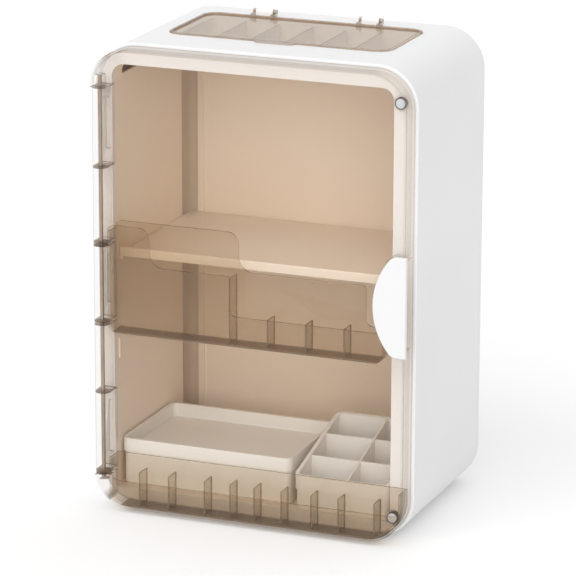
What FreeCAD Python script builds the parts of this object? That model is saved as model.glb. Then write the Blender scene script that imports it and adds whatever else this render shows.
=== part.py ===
# Makeup organizer: a white cabinet with a tinted swing door that carries two bins,
# a shelf, two lift-out trays and a lidded tray let into the top.
# Millimetres. +X right, +Y back, +Z up; the origin is on the table under the middle of the object.
import FreeCAD, Part
import os
import re
import Sketcher

doc = FreeCAD.newDocument("makeup_organizer")

driving_sizes = {
    # cabinet shell
    "cabinet_width": 341.6, "cabinet_height": 485, "cabinet_depth": 206, "cabinet_corner": 42.5,
    "cabinet_rear_round": 10, "cabinet_front_round": 1.4, "shell_wall": 3,
    "foot_height": 1.5, "foot_radius": 8, "foot_edge": 24,
    # front frame and lining sleeve
    "liner_clearance": 0.2, "flange_thickness": 4,
    "band_left": 15.4, "band_right": 25.3, "band_top": 23, "band_bottom": 16.5, "opening_corner": 13,
    "floor_corner": 3, "floor_rear_inset": 15,
    "sleeve_wall": 2.4, "sleeve_depth": 176, "top_lip_depth": 25,
    "rib_height": 20, "rib_proud": 1.4, "rib_width": 2.5, "rib_setback": 11, "rib_level": 153,
    "post_radius": 4.5, "post_side": 100, "post_edge": 42,
    "screw_radius": 1.5, "screw_head_radius": 3, "screw_head_height": 1.6, "screw_length": 10,
    "screw_clearance": 0.15,
    # lining board on the back wall
    "lining_side_gap": 20.8, "lining_height": 422, "lining_thickness": 2.5, "lining_corner": 12,
    "lining_border": 6.8, "lining_border_height": 2,
    # shelf
    "shelf_level": 263, "shelf_thickness": 3, "shelf_lip_height": 7, "shelf_lip_thickness": 3,
    "shelf_lip_round": 1.2, "shelf_setback": 14, "shelf_clearance": 0.5, "ledge_width": 4,
    "ledge_thickness": 3,
    # tray let into the top, and its lid
    "lid_width": 240, "lid_depth": 112, "lid_setback": 52, "lid_corner": 16, "lid_thickness": 2,
    "lid_rim_width": 3.2, "lid_rim_height": 1.6, "lid_gap": 0.3, "lid_edge_round": 0.7,
    "lid_recess_gap": 0.6,
    "lid_top_gap": 0.3,
    "tab_width": 43, "tab_depth": 8, "tab_corner": 6,
    "tray_rim_width": 7, "tray_rim_thickness": 1.5, "tray_rim_inset": 1, "tray_depth": 29, "tray_wall": 2,
    "tray_divider_thickness": 1.5, "tray_divider_height": 25, "tray_clearance": 0.25,
    "lid_hinge_offset": 58, "lid_ear_thickness": 3, "lid_block_width": 18.4, "lid_ear_gap": 0.3,
    "lid_ear_radius": 3.4, "lid_ear_reach": 4.6, "lid_ear_overlap": 6, "lid_ear_height": 3.6,
    "lid_axis_height": 4.6,
    "lid_block_tail": 5, "lid_pin_radius": 1.2,
    # door pan
    "door_inset": 2.5, "door_gap": 1.6, "door_depth": 25, "door_corner": 40, "door_wall": 2.4,
    "panel_thickness": 2.4, "door_edge_round": 1.5, "door_rear_round": 2,
    # door hinge: barrel segments on one pin, alternately on the cabinet and on the door
    "hinge_radius": 8, "hinge_pin_radius": 2, "running_clearance": 0.05, "knuckle_wall": 2.2,
    "knuckle_hollow_round": 1.4, "hinge_side_gap": 0.8,
    "upper_ring_drop": 41, "lower_ring_height": 35, "plain_ring_gap": 1.2, "ear_ring_gap": 4.2,
    "corner_boss_radius": 6, "corner_boss_reach": 12, "pin_end_gap": 1,
    "tongue_width": 4.4, "tongue_length": 1.6, "tongue_end": 14, "tongue_clearance": 0.2,
    # magnets at the free edge
    "magnet_radius": 6, "magnet_thickness": 4.6, "magnet_skin": 0.8, "magnet_boss_wall": 1.6,
    "magnet_clearance": 0.1,
    "upper_magnet_side": 13.8, "upper_magnet_drop": 32.9, "lower_magnet_side": 17.9,
    "lower_magnet_height": 21.6,
    "strike_radius": 4, "strike_thickness": 2,
    # handle
    "handle_proud": 4, "handle_width": 35.2, "handle_height": 103, "handle_overhang": 2.4,
    "handle_above_bin": 60.2,
    "handle_sweep": 75, "handle_corner": 11, "handle_edge_round": 1.6,
    "scoop_depth": 18, "scoop_height": 92, "scoop_wall": 2.2, "scoop_round": 3,
    "handle_boss_radius": 3.6, "handle_boss_inset": 7.5, "handle_boss_spacing": 42, "handle_screw_bite": 2.6,
    "handle_screw_sink": 2,
    # bins on the door
    "bin_wall": 2, "bin_side_gap": 1.6, "bin_clearance": 0.3, "bin_front_gap": 0.3,
    "bin_ear_thickness": 3, "bin_arm_width": 9, "bin_divider_thickness": 1.8, "bin_divider_gap": 0.1,
    "middle_below_ring": 7.6, "middle_above_ring": 22, "middle_step_drop": 40, "middle_low_wall": 31,
    "middle_front_step": 46, "middle_back_step": 134.5, "middle_front_end": 133.5, "middle_back_tail": 26,
    "step_top_round": 12, "step_low_round": 16, "end_top_round": 4, "end_low_round": 7, "middle_corner": 10,
    "middle_left_corner": 7, "middle_handle_gap": 2, "middle_divider_height": 29, "middle_cross_height": 68,
    "lower_bin_height": 53.5, "lower_front_wall": 29.5, "lower_divider_height": 40, "lower_front_round": 8,
    # lift-out trays in the lower compartment
    "tray_floor_gap": 0.3, "tray_wall_thickness": 2.2, "tray_band_height": 14, "tray_band_proud": 1.6,
    "flat_side_gap": 2.3, "flat_tray_gap": 6.4, "flat_setback": 10, "flat_depth": 132, "flat_height": 49,
    "flat_hollow": 14, "loose_corner": 8,
    "divided_side_gap": 1.6, "divided_width": 103.5, "divided_setback": 2, "divided_depth": 125,
    "divided_front_height": 35, "divided_rear_height": 67, "divided_spine": 56, "partition_thickness": 1.8,
    "partition_drop": 1, "partition_gap": 0.1,
    "overrun": 1,
}

# Heights of the barrel's rings, as shares of the span from the lowest ring to the highest.
ring_shares = (0, 0.213, 0.395, 0.6, 0.797, 1)
# Divider places along the lower bin, as shares of its length.
lower_divider_shares = (0.104, 0.206, 0.331, 0.42, 0.503, 0.596, 0.698, 0.79, 0.911)
# Even repeats: slots right of the middle bin's cross wall, cells of the top tray, rows of the divided tray.
middle_slots = 4
top_cells = 6
cross_rows = 3

sheet = doc.addObject("Spreadsheet::Sheet", "sizes")
for row, (alias, number) in enumerate(driving_sizes.items(), start=1):
    sheet.set(f"A{row}", alias)
    sheet.set(f"B{row}", str(number))
    sheet.setAlias(f"B{row}", alias)
doc.recompute()


def ring_level(index):
    return f"(ring_low + (ring_high - ring_low) * {ring_shares[index]})"


# Places that follow from the driving sizes, each written once.
places = {
    "total_depth": "handle_proud + door_depth + door_gap + cabinet_depth",
    "cab_back": "total_depth / 2",
    "cab_front": "cab_back - cabinet_depth",
    "cab_left": "0 - cabinet_width / 2",
    "cab_right": "cabinet_width / 2",
    "cab_bottom": "foot_height",
    "cab_top": "cab_bottom + cabinet_height",
    "wall_back": "cab_back - shell_wall",
    "opening_left": "cab_left + band_left",
    "opening_right": "cab_right - band_right",
    "opening_bottom": "cab_bottom + band_bottom",
    "opening_top": "cab_top - band_top",
    "sleeve_top": "opening_top - opening_corner - sleeve_wall",
    "lining_left": "cab_left + shell_wall + lining_side_gap",
    "lining_right": "cab_right - shell_wall - lining_side_gap",
    "lining_front": "wall_back - lining_thickness",
    "border_front": "lining_front - lining_border_height",
    "shelf_front": "cab_front + shelf_setback",
    "shelf_under": "shelf_level - shelf_thickness",
    "door_back": "cab_front - door_gap",
    "door_front": "door_back - door_depth",
    "panel_front": "door_back - panel_thickness",
    "handle_front": "door_front - handle_proud",
    "door_left": "cab_left + door_inset",
    "door_right": "cab_right - door_inset",
    "door_bottom": "cab_bottom + door_inset",
    "door_top": "cab_top - door_inset",
    "axis_x": "door_left + hinge_radius",
    "axis_y": "door_front + hinge_radius",
    "barrel_right": "axis_x + hinge_radius",
    "ring_low": "door_bottom + lower_ring_height",
    "ring_high": "door_top - upper_ring_drop",
    "bore_radius": "hinge_pin_radius + running_clearance",
    "tongue_left": "axis_x - tongue_width / 2",
    "tongue_right": "axis_x + tongue_width / 2",
    "boss_low": "door_bottom + door_corner - corner_boss_reach",
    "boss_high": "door_top - door_corner + corner_boss_reach",
    "magnet_back": "door_back - magnet_skin",
    "magnet_front": "magnet_back - magnet_thickness",
    "handle_right": "door_right + handle_overhang",
    "scoop_left": "door_right - scoop_depth",
    "scoop_low": "handle_middle - scoop_height / 2",
    "scoop_high": "handle_middle + scoop_height / 2",
    "handle_boss_x": "scoop_left - handle_boss_inset",
    "bin_left": "barrel_right + bin_side_gap",
    "bin_front": "door_front + bin_front_gap",
    "middle_right": "scoop_left - scoop_wall - middle_handle_gap",
    "middle_bottom": f"{ring_level(2)} - middle_below_ring",
    "middle_top": f"{ring_level(3)} + middle_above_ring",
    "middle_half": "middle_top - middle_step_drop",
    "middle_low": "middle_bottom + middle_low_wall",
    "handle_middle": "middle_bottom + handle_above_bin",
    "lower_right": "door_right - door_wall - bin_clearance",
    "lower_bottom": "door_bottom + door_wall + bin_clearance",
    "lower_top": "door_bottom + lower_bin_height",
    "lower_length": "lower_right - bin_left",
    "lid_front": "cab_front + lid_setback",
    "lid_rear": "lid_front + lid_depth",
    "lid_bottom": "cab_top - lid_thickness",
    "lid_rim_top": "cab_top + lid_rim_height",
    "tray_rim_top": "lid_bottom - lid_gap",
    "recess_floor": "tray_rim_top - tray_rim_thickness",
    "lid_axis_y": "lid_rear + lid_ear_reach",
    "lid_axis_z": "cab_top + lid_axis_height",
    "lid_bore_radius": "lid_pin_radius + running_clearance",
    "tub_half": "lid_width / 2 - tray_rim_width",
    "tub_front": "lid_front + tray_rim_width",
    "tub_rear": "lid_rear - tray_rim_width",
    "tub_bottom": "tray_rim_top - tray_depth",
    "tub_corner": "lid_corner - tray_rim_width",
    "loose_bottom": "opening_bottom + tray_floor_gap",
    "flat_left": "opening_left + flat_side_gap",
    "flat_right": "divided_left - flat_tray_gap",
    "flat_front": "cab_front + flat_setback",
    "flat_rear": "flat_front + flat_depth",
    "flat_top": "loose_bottom + flat_height",
    "divided_right": "opening_right - divided_side_gap",
    "divided_left": "divided_right - divided_width",
    "divided_front": "cab_front + divided_setback",
    "divided_rear": "divided_front + divided_depth",
    "divided_top": "loose_bottom + divided_front_height",
    "divided_rear_top": "loose_bottom + divided_rear_height",
    "divided_floor": "loose_bottom + tray_wall_thickness",
    "divided_middle": "divided_left + divided_spine",
    "divided_rise": "divided_rear_top - divided_top",
}


def formula(text):
    """Spell a sum of named sizes and places in the sheet's own aliases."""
    def spell(match):
        word = match.group(0)
        if word in places:
            return "(" + formula(places[word]) + ")"
        if word not in driving_sizes:
            raise KeyError(word)
        return "sizes." + word
    return re.sub(r"[a-z][a-z_]*[a-z]", spell, text)


def value(text):
    return sheet.evalExpression(formula(text))


def bind(thing, path, text):
    thing.setExpression(path, formula(text))


def rect(left, right, low, high, radius=""):
    """Corners of an upright rectangle, one radius for all four."""
    return [(left, low, radius), (right, low, radius), (right, high, radius), (left, high, radius)]


def circle(across, along, radius):
    return {"at": (across, along), "radius": radius}


def fix(sketch, kind, geometry, point, text):
    """Hold a point's distance from the sketch's origin to a sum of named sizes."""
    distance = Sketcher.Constraint(kind, -1, 1, geometry, point, value(text))
    bind(sketch, f"Constraints[{sketch.addConstraint(distance)}]", text)


def draw_circle(sketch, loop):
    across, along = loop["at"]
    centre = FreeCAD.Vector(value(across), value(along), 0)
    geometry = sketch.addGeometry(Part.Circle(centre, FreeCAD.Vector(0, 0, 1), value(loop["radius"])))
    fix(sketch, "DistanceX", geometry, 3, across)
    fix(sketch, "DistanceY", geometry, 3, along)
    radius = sketch.addConstraint(Sketcher.Constraint("Radius", geometry, value(loop["radius"])))
    bind(sketch, f"Constraints[{radius}]", loop["radius"])


def round_corner(sketch, before, after, start, corner, end, radius):
    """Join two lines by a tangent arc with a bound radius."""
    centre = start + end - corner
    middle = centre + (corner - centre).normalize() * value(radius)
    arc = sketch.addGeometry(Part.Arc(start, middle, end))
    first, last = (1, 2) if sketch.getPoint(arc, 1).isEqual(start, Part.Precision.confusion()) else (2, 1)
    sketch.addConstraint(Sketcher.Constraint("Tangent", before, 2, arc, first))
    sketch.addConstraint(Sketcher.Constraint("Tangent", after, 1, arc, last))
    bound = sketch.addConstraint(Sketcher.Constraint("Radius", arc, value(radius)))
    bind(sketch, f"Constraints[{bound}]", radius)


def draw_outline(sketch, loop):
    """Closed outline of level, upright and, between sharp corners, sloping lines."""
    count = len(loop)
    corners = [FreeCAD.Vector(value(across), value(along), 0) for across, along, radius in loop]
    radii = [value(radius) if radius else 0 for across, along, radius in loop]
    starts = []
    ends = []
    for index, corner in enumerate(corners):
        towards_next = (corners[(index + 1) % count] - corner).normalize()
        towards_last = (corners[index - 1] - corner).normalize()
        starts.append(corner + towards_next * radii[index])
        ends.append(corner + towards_last * radii[index])
    lines = [sketch.addGeometry(Part.LineSegment(starts[index], ends[(index + 1) % count]))
             for index in range(count)]
    for index, line in enumerate(lines):
        here, there = loop[index], loop[(index + 1) % count]
        step = corners[(index + 1) % count] - corners[index]
        if here[1] == there[1] or abs(step.y) < Part.Precision.confusion():
            sketch.addConstraint(Sketcher.Constraint("Horizontal", line))
            fix(sketch, "DistanceY", line, 1, here[1])
        elif here[0] == there[0] or abs(step.x) < Part.Precision.confusion():
            sketch.addConstraint(Sketcher.Constraint("Vertical", line))
            fix(sketch, "DistanceX", line, 1, here[0])
        else:
            fix(sketch, "DistanceY", line, 1, here[1])
            fix(sketch, "DistanceY", line, 2, there[1])
    for index in range(count):
        before, after = lines[index - 1], lines[index]
        if radii[index]:
            round_corner(sketch, before, after, ends[index], corners[index], starts[index], loop[index][2])
        else:
            sketch.addConstraint(Sketcher.Constraint("Coincident", before, 2, after, 1))


def sketch_on(body, plane, start):
    """Empty sketch on one of the body's own planes, moved along it to start."""
    role = {"front": "XZ_Plane", "plan": "XY_Plane", "side": "YZ_Plane"}[plane]
    sketch = body.newObject("Sketcher::SketchObject", "sketch")
    support = [feature for feature in body.Origin.OriginFeatures if feature.Role == role]
    sketch.AttachmentSupport = [(support[0], "")]
    sketch.MapMode = "FlatFace"
    bind(sketch, ".AttachmentOffset.Base.z", f"0 - ({start})" if plane == "front" else start)
    return sketch


def draw(sketch, loops):
    for loop in loops:
        if isinstance(loop, dict):
            draw_circle(sketch, loop)
        else:
            draw_outline(sketch, loop)


def add(body, plane, start, length, *loops):
    """Pad outlines towards +Y from the front, +Z from the plan or +X from the side."""
    sketch = sketch_on(body, plane, start)
    draw(sketch, loops)
    pad = body.newObject("PartDesign::Pad", "pad")
    pad.Profile = sketch
    pad.Reversed = plane == "front"
    bind(pad, "Length", length)
    return pad


def cut(body, plane, start, length, *loops):
    """Pocket outlines in the same directions as add."""
    sketch = sketch_on(body, plane, start)
    draw(sketch, loops)
    pocket = body.newObject("PartDesign::Pocket", "pocket")
    pocket.Profile = sketch
    pocket.Reversed = plane != "front"
    bind(pocket, "Length", length)
    return pocket


def round_edges(body, axis, level, radius):
    """Round every edge of the body so far that lies in one plane across an axis."""
    doc.recompute()
    tip = body.Tip
    height = value(level)
    names = []
    for number, edge in enumerate(tip.Shape.Edges, start=1):
        box = edge.BoundBox
        low, high = getattr(box, axis + "Min"), getattr(box, axis + "Max")
        if max(abs(low - height), abs(high - height)) < value("running_clearance"):
            names.append(f"Edge{number}")
    fillet = body.newObject("PartDesign::Fillet", "fillet")
    fillet.Base = (tip, names)
    bind(fillet, "Radius", radius)
    return fillet


def new_body(label):
    return doc.addObject("PartDesign::Body", label)


def block(label, corner, size):
    """Box from its low corner and its sizes."""
    box = doc.addObject("Part::Box", label)
    for path, text in zip(("Length", "Width", "Height"), size):
        bind(box, path, text)
    for path, text in zip("xyz", corner):
        bind(box, ".Placement.Base." + path, text)
    return box


turns = {
    "x": FreeCAD.Rotation(FreeCAD.Vector(0, 1, 0), 90),
    "y": FreeCAD.Rotation(FreeCAD.Vector(1, 0, 0), -90),
    "z": FreeCAD.Rotation(),
}


def rod(label, start, axis, radius, length):
    """Cylinder from the middle of its first end, along +X, +Y or +Z."""
    cylinder = doc.addObject("Part::Cylinder", label)
    cylinder.Placement.Rotation = turns[axis]
    bind(cylinder, "Radius", radius)
    bind(cylinder, "Height", length)
    for path, text in zip("xyz", start):
        bind(cylinder, ".Placement.Base." + path, text)
    return cylinder


def joined(label, pieces):
    fuse = doc.addObject("Part::MultiFuse", label)
    fuse.Shapes = pieces
    return fuse


def bored(label, base, tools):
    hole = doc.addObject("Part::Cut", label)
    hole.Base = base
    hole.Tool = tools[0] if len(tools) == 1 else joined(label + "_tools", tools)
    return hole


def group(label, pieces):
    compound = doc.addObject("Part::Compound", label)
    compound.Links = pieces
    return compound


# Rings at which a bin's ear sits on the pin are wider than the plain ones.
ear_rings = (0, 2, 3)


def ring_half(index):
    return "ear_ring_gap / 2" if index in ear_rings else "plain_ring_gap / 2"


def segment_span(index):
    """Low end and length of the barrel segment above a ring."""
    low = f"{ring_level(index)} + {ring_half(index)}"
    high = f"{ring_level(index + 1)} - {ring_half(index + 1)}"
    return low, f"({high}) - ({low})"


fixed_segments = {0: "hinge_bracket_lower", 2: "hinge_bracket_middle", 4: "hinge_bracket_upper"}
door_segments = (1, 3)


def barrel_segment(body, index, back):
    """Barrel on the pin with a hollow web that runs back to what carries it."""
    low, length = segment_span(index)
    add(body, "plan", low, length, [("door_left", "axis_y", ""), ("barrel_right", "axis_y", ""),
                                    ("barrel_right", back, ""), ("door_left", back, "door_rear_round")])
    add(body, "plan", low, length, circle("axis_x", "axis_y", "hinge_radius"))
    hollow = rect("door_left + knuckle_wall", "barrel_right - knuckle_wall", "axis_y + hinge_radius",
                  f"{back} - panel_thickness", "knuckle_hollow_round")
    cut(body, "plan", f"{low} - overrun", f"{length} + 2 * overrun", hollow)
    return low, length


def outer_shell():
    body = new_body("outer_shell")
    add(body, "front", "cab_front", "cabinet_depth",
        rect("cab_left", "cab_right", "cab_bottom", "cab_top", "cabinet_corner"))
    round_edges(body, "Y", "cab_back", "cabinet_rear_round")
    round_edges(body, "Y", "cab_front", "cabinet_front_round")
    cut(body, "front", "cab_front", "cabinet_depth - shell_wall",
        rect("cab_left + shell_wall", "cab_right - shell_wall", "cab_bottom + shell_wall",
             "cab_top - shell_wall", "cabinet_corner - shell_wall"))
    round_edges(body, "Y", "wall_back", "cabinet_rear_round - shell_wall")
    well = "recess_floor - shell_wall"
    add(body, "plan", well, f"cab_top - overrun - ({well})", lid_outline("lid_recess_gap + shell_wall"))
    cut(body, "plan", "recess_floor", "cab_top - recess_floor + overrun", lid_outline("lid_recess_gap"))
    cut(body, "plan", f"{well} - overrun", "shell_wall + 2 * overrun",
        rect("0 - tub_half - tray_clearance", "tub_half + tray_clearance",
             "tub_front - tray_clearance", "tub_rear + tray_clearance", "tub_corner"))
    for across, along in post_places():
        cut(body, "plan", "cab_bottom - overrun", "screw_head_height + overrun",
            circle(across, along, "screw_head_radius + screw_clearance"))
        cut(body, "plan", "cab_bottom - overrun", "shell_wall + 2 * overrun",
            circle(across, along, "screw_radius + screw_clearance"))
    return body


def lid_outline(margin):
    """Plan of the lid, made wider all round by a margin."""
    return rect(f"0 - lid_width / 2 - ({margin})", f"lid_width / 2 + {margin}", f"lid_front - ({margin})",
                f"lid_rear + {margin}", f"lid_corner + {margin}")


def post_places():
    """The four screws that hold the lining sleeve down to the shell's base."""
    return [(across, along) for across in ("0 - post_side", "post_side")
            for along in ("cab_front + post_edge", "cab_back - post_edge")]


def inner_liner():
    body = new_body("inner_liner")
    opening = [("opening_left", "opening_bottom", "floor_corner"), ("opening_right", "opening_bottom",
                                                                    "floor_corner"),
               ("opening_right", "opening_top", "opening_corner"), ("opening_left", "opening_top",
                                                                    "opening_corner")]
    floor_outside = "floor_corner + sleeve_wall"
    margin = "(shell_wall + liner_clearance)"
    add(body, "front", "cab_front", "flange_thickness",
        rect(f"cab_left + {margin}", f"cab_right - {margin}", f"cab_bottom + {margin}",
             f"cab_top - {margin}",
             f"cabinet_corner - {margin}"))
    outer = [("opening_left - sleeve_wall", "opening_bottom - sleeve_wall", floor_outside),
             ("opening_right + sleeve_wall", "opening_bottom - sleeve_wall", floor_outside),
             ("opening_right + sleeve_wall", "opening_top + sleeve_wall", "opening_corner + sleeve_wall"),
             ("opening_left - sleeve_wall", "opening_top + sleeve_wall", "opening_corner + sleeve_wall")]
    add(body, "front", "cab_front", "top_lip_depth", outer)
    cut(body, "front", "cab_front", "top_lip_depth + overrun", opening)
    walls = [("opening_left - sleeve_wall", "opening_bottom - sleeve_wall", floor_outside),
             ("opening_right + sleeve_wall", "opening_bottom - sleeve_wall", floor_outside),
             ("opening_right + sleeve_wall", "sleeve_top", ""), ("opening_right", "sleeve_top", ""),
             ("opening_right", "opening_bottom", "floor_corner"),
             ("opening_left", "opening_bottom", "floor_corner"),
             ("opening_left", "sleeve_top", ""), ("opening_left - sleeve_wall", "sleeve_top", "")]
    add(body, "front", "cab_front + flange_thickness", "sleeve_depth - flange_thickness", walls)
    add(body, "front", "cab_front + flange_thickness",
        "cabinet_depth - shell_wall - flange_thickness - liner_clearance",
        rect("opening_left + floor_rear_inset", "opening_right - floor_rear_inset",
             "opening_bottom - sleeve_wall", "opening_bottom"))
    for near, far in (("opening_left", "opening_left + ledge_width"), ("opening_right - ledge_width",
                                                                       "opening_right")):
        add(body, "front", "shelf_front", "sleeve_depth - shelf_setback",
            rect(near, far, "shelf_under - ledge_thickness", "shelf_under"))
    add(body, "front", "cab_front + rib_setback", "rib_width",
        rect("opening_left", "opening_left + rib_proud", "rib_level", "rib_level + rib_height"))
    post_base = "cab_bottom + shell_wall"
    post_length = f"opening_bottom - sleeve_wall - ({post_base})"
    posts = [circle(across, along, "post_radius") for across, along in post_places()]
    pilots = [circle(across, along, "screw_radius + screw_clearance") for across, along in post_places()]
    add(body, "plan", post_base, post_length, *posts)
    cut(body, "plan", f"{post_base} - overrun", f"{post_length} + overrun", *pilots)
    for index in fixed_segments:
        low, length = segment_span(index)
        cut(body, "front", "cab_front", "tongue_length + tongue_clearance",
            rect("tongue_left - tongue_clearance", "tongue_right + tongue_clearance",
                 f"{low} + tongue_end - tongue_clearance",
                 f"{low} + {length} - tongue_end + tongue_clearance"))
    strikes = [circle(across, level, "strike_radius + magnet_clearance") for across, level in magnet_places]
    cut(body, "front", "cab_front", "strike_thickness", *strikes)
    return body


magnet_places = (("door_right - lower_magnet_side", "door_bottom + lower_magnet_height"),
                 ("door_right - upper_magnet_side", "door_top - upper_magnet_drop"))


def back_lining():
    body = new_body("back_lining")
    left, right = "lining_left", "lining_right"
    low, high = "opening_bottom", "opening_bottom + lining_height"
    add(body, "front", "border_front", "lining_thickness + lining_border_height",
        rect(left, right, low, high, "lining_corner"))
    cut(body, "front", "border_front", "lining_border_height",
        rect(f"{left} + lining_border", f"{right} - lining_border", f"{low} + lining_border",
             f"{high} - lining_border", "lining_corner - lining_border"))
    return body


def shelf():
    body = new_body("shelf")
    rear = "border_front - shelf_clearance"
    lip_top = "shelf_level + shelf_lip_height"
    lip_back = "shelf_front + shelf_lip_thickness"
    add(body, "side", "opening_left + shelf_clearance", "opening_right - opening_left - 2 * shelf_clearance",
        [("shelf_front", "shelf_under", "shelf_lip_round"), (rear, "shelf_under", ""), (rear, "shelf_level",
                                                                                        ""),
         (lip_back, "shelf_level", "shelf_lip_round"), (lip_back, lip_top, "shelf_lip_round"),
         ("shelf_front", lip_top, "shelf_lip_round")])
    return body


def top_tray():
    body = new_body("top_tray")
    add(body, "plan", "recess_floor", "tray_rim_thickness", lid_outline("0 - tray_rim_inset"))
    add(body, "plan", "tub_bottom", "tray_depth",
        rect("0 - tub_half", "tub_half", "tub_front", "tub_rear", "tub_corner"))
    cut(body, "plan", "tub_bottom + tray_wall", "tray_depth",
        rect("0 - tub_half + tray_wall", "tub_half - tray_wall", "tub_front + tray_wall",
             "tub_rear - tray_wall",
             "tub_corner - tray_wall"))
    return body


def top_tray_dividers():
    plates = []
    for number in range(1, top_cells):
        middle = f"(tub_half - tray_wall) * 2 * {number} / {top_cells} - tub_half + tray_wall"
        plates.append(block(f"top_divider_{number}",
                            (f"{middle} - tray_divider_thickness / 2",
                             "tub_front + tray_wall + tray_clearance",
                             "tub_bottom + tray_wall"),
                            ("tray_divider_thickness",
                             "tub_rear - tub_front - 2 * tray_wall - 2 * tray_clearance",
                             "tray_divider_height")))
    return group("top_tray_dividers", plates)


lid_hinge_middles = ("0 - lid_hinge_offset", "lid_hinge_offset")


def lid_ears():
    """Two ears on the lid's rear edge for each hinge, either side of its block."""
    ears = []
    for middle in lid_hinge_middles:
        inner = "lid_block_width / 2 + lid_ear_gap"
        for start in (f"{middle} - ({inner}) - lid_ear_thickness", f"{middle} + {inner}"):
            ears.append(block("lid_ear_foot", (start, "lid_rear - lid_ear_overlap", "cab_top + lid_top_gap"),
                              ("lid_ear_thickness", "lid_ear_overlap + lid_ear_reach", "lid_ear_height")))
            ears.append(rod("lid_ear_eye", (start, "lid_axis_y", "lid_axis_z"), "x", "lid_ear_radius",
                            "lid_ear_thickness"))
    return ears


def lid_bores(label):
    reach = "lid_block_width / 2 + lid_ear_gap + lid_ear_thickness + overrun"
    return [rod(label, (f"{middle} - ({reach})", "lid_axis_y", "lid_axis_z"), "x", "lid_bore_radius",
                f"2 * ({reach})")
            for middle in lid_hinge_middles]


def top_lid():
    plate = new_body("lid_plate")
    add(plate, "plan", "lid_bottom", "lid_thickness + lid_rim_height", lid_outline("0"))
    round_edges(plate, "Z", "lid_rim_top", "lid_edge_round")
    cut(plate, "plan", "cab_top", "lid_rim_height + overrun", lid_outline("0 - lid_rim_width"))
    add(plate, "plan", "cab_top + lid_top_gap", "lid_rim_height - lid_top_gap",
        [("0 - tab_width / 2", "lid_front - tab_depth", "tab_corner"),
         ("tab_width / 2", "lid_front - tab_depth", "tab_corner"),
         ("tab_width / 2", "lid_front + lid_rim_width", ""), ("0 - tab_width / 2",
                                                              "lid_front + lid_rim_width", "")])
    return bored("top_lid", joined("lid_with_ears", [plate] + lid_ears()), lid_bores("lid_ear_bore"))


def lid_hinge_blocks():
    blocks = []
    for number, middle in enumerate(lid_hinge_middles):
        start = f"{middle} - lid_block_width / 2"
        foot = block("lid_block_foot", (start, "lid_axis_y - lid_ear_radius", "cab_top"),
                     ("lid_block_width", "lid_ear_radius + lid_block_tail", "lid_axis_height"))
        eye = rod("lid_block_eye", (start, "lid_axis_y", "lid_axis_z"), "x", "lid_ear_radius",
                  "lid_block_width")
        body = joined(f"lid_block_{number}", [foot, eye])
        blocks.append(bored(f"lid_hinge_block_{number}", body,
                            lid_bores("lid_block_bore")[number:number + 1]))
    return group("lid_hinge_blocks", blocks)


def lid_hinge_pins():
    reach = "lid_block_width / 2 + lid_ear_gap + lid_ear_thickness"
    pins = [rod("lid_pin", (f"{middle} - ({reach})", "lid_axis_y", "lid_axis_z"), "x", "lid_pin_radius",
                f"2 * ({reach})")
            for middle in lid_hinge_middles]
    return group("lid_hinge_pins", pins)


def hinge_bracket(index, label):
    """Fixed barrel segment; its tongue sits in a pocket of the front frame."""
    body = new_body(label)
    low, length = barrel_segment(body, index, "cab_front")
    add(body, "front", "cab_front - panel_thickness", "tongue_length + panel_thickness",
        rect("tongue_left", "tongue_right", f"{low} + tongue_end", f"{low} + {length} - tongue_end"))
    cut(body, "plan", f"{low} - overrun", f"{length} + 2 * overrun", circle("axis_x", "axis_y",
                                                                            "bore_radius"))
    return body


def hinge_pin():
    return rod("hinge_pin", ("axis_x", "axis_y", "boss_low + pin_end_gap"), "z", "hinge_pin_radius",
               "boss_high - boss_low - 2 * pin_end_gap")


def strike_discs():
    return group("strike_discs", [rod("strike_disc", (across, "cab_front", level), "y", "strike_radius",
                                      "strike_thickness") for across, level in magnet_places])


def door_magnets():
    return group("door_magnets", [rod("door_magnet", (across, "magnet_front", level), "y", "magnet_radius",
                                      "magnet_thickness") for across, level in magnet_places])


def foot_pads():
    side = "cab_right - cabinet_corner - foot_radius"
    pads = [rod("foot_pad", (across, along, "0"), "z", "foot_radius", "foot_height")
            for across in (f"0 - ({side})", side)
            for along in ("cab_front + foot_edge", "cab_back - foot_edge")]
    return group("foot_pads", pads)


def screw(label, start, axis, length):
    """Pan-head screw from the outside of its head."""
    along = "xyz".index(axis)
    shank_start = list(start)
    shank_start[along] = f"{start[along]} + screw_head_height"
    return joined(label, [rod(label + "_head", start, axis, "screw_head_radius", "screw_head_height"),
                          rod(label + "_shank", shank_start, axis, "screw_radius", length)])


def liner_screws():
    return group("liner_screws", [screw(f"liner_screw_{number}", (across, along, "cab_bottom"), "z",
                                        "screw_length")
                                  for number, (across, along) in enumerate(post_places())])


def door_pan():
    body = new_body("door_pan")
    inner = "door_depth - panel_thickness"
    add(body, "front", "door_front", "door_depth", rect("door_left", "door_right", "door_bottom",
                                                        "door_top", "door_corner"))
    round_edges(body, "Y", "door_front", "door_edge_round")
    round_edges(body, "Y", "door_back", "door_rear_round")
    cut(body, "front", "door_front", inner,
        rect("door_left + door_wall", "door_right - door_wall", "door_bottom + door_wall",
             "door_top - door_wall",
             "door_corner - door_wall"))
    cut_barrel_room(body)
    for index in door_segments:
        barrel_segment(body, index, "door_back")
    top_ring = f"{ring_level(5)} + {ring_half(5)}"
    low_ring = f"{ring_level(0)} - {ring_half(0)}"
    boss = circle("axis_x", "axis_y", "corner_boss_radius")
    add(body, "plan", top_ring, f"boss_high - ({top_ring})", boss)
    add(body, "plan", "boss_low", f"{low_ring} - boss_low", boss)
    cut(body, "plan", "boss_low + pin_end_gap", "boss_high - boss_low", circle("axis_x", "axis_y",
                                                                               "bore_radius"))
    add_magnet_seats(body)
    add_handle_scoop(body)
    return body


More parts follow.
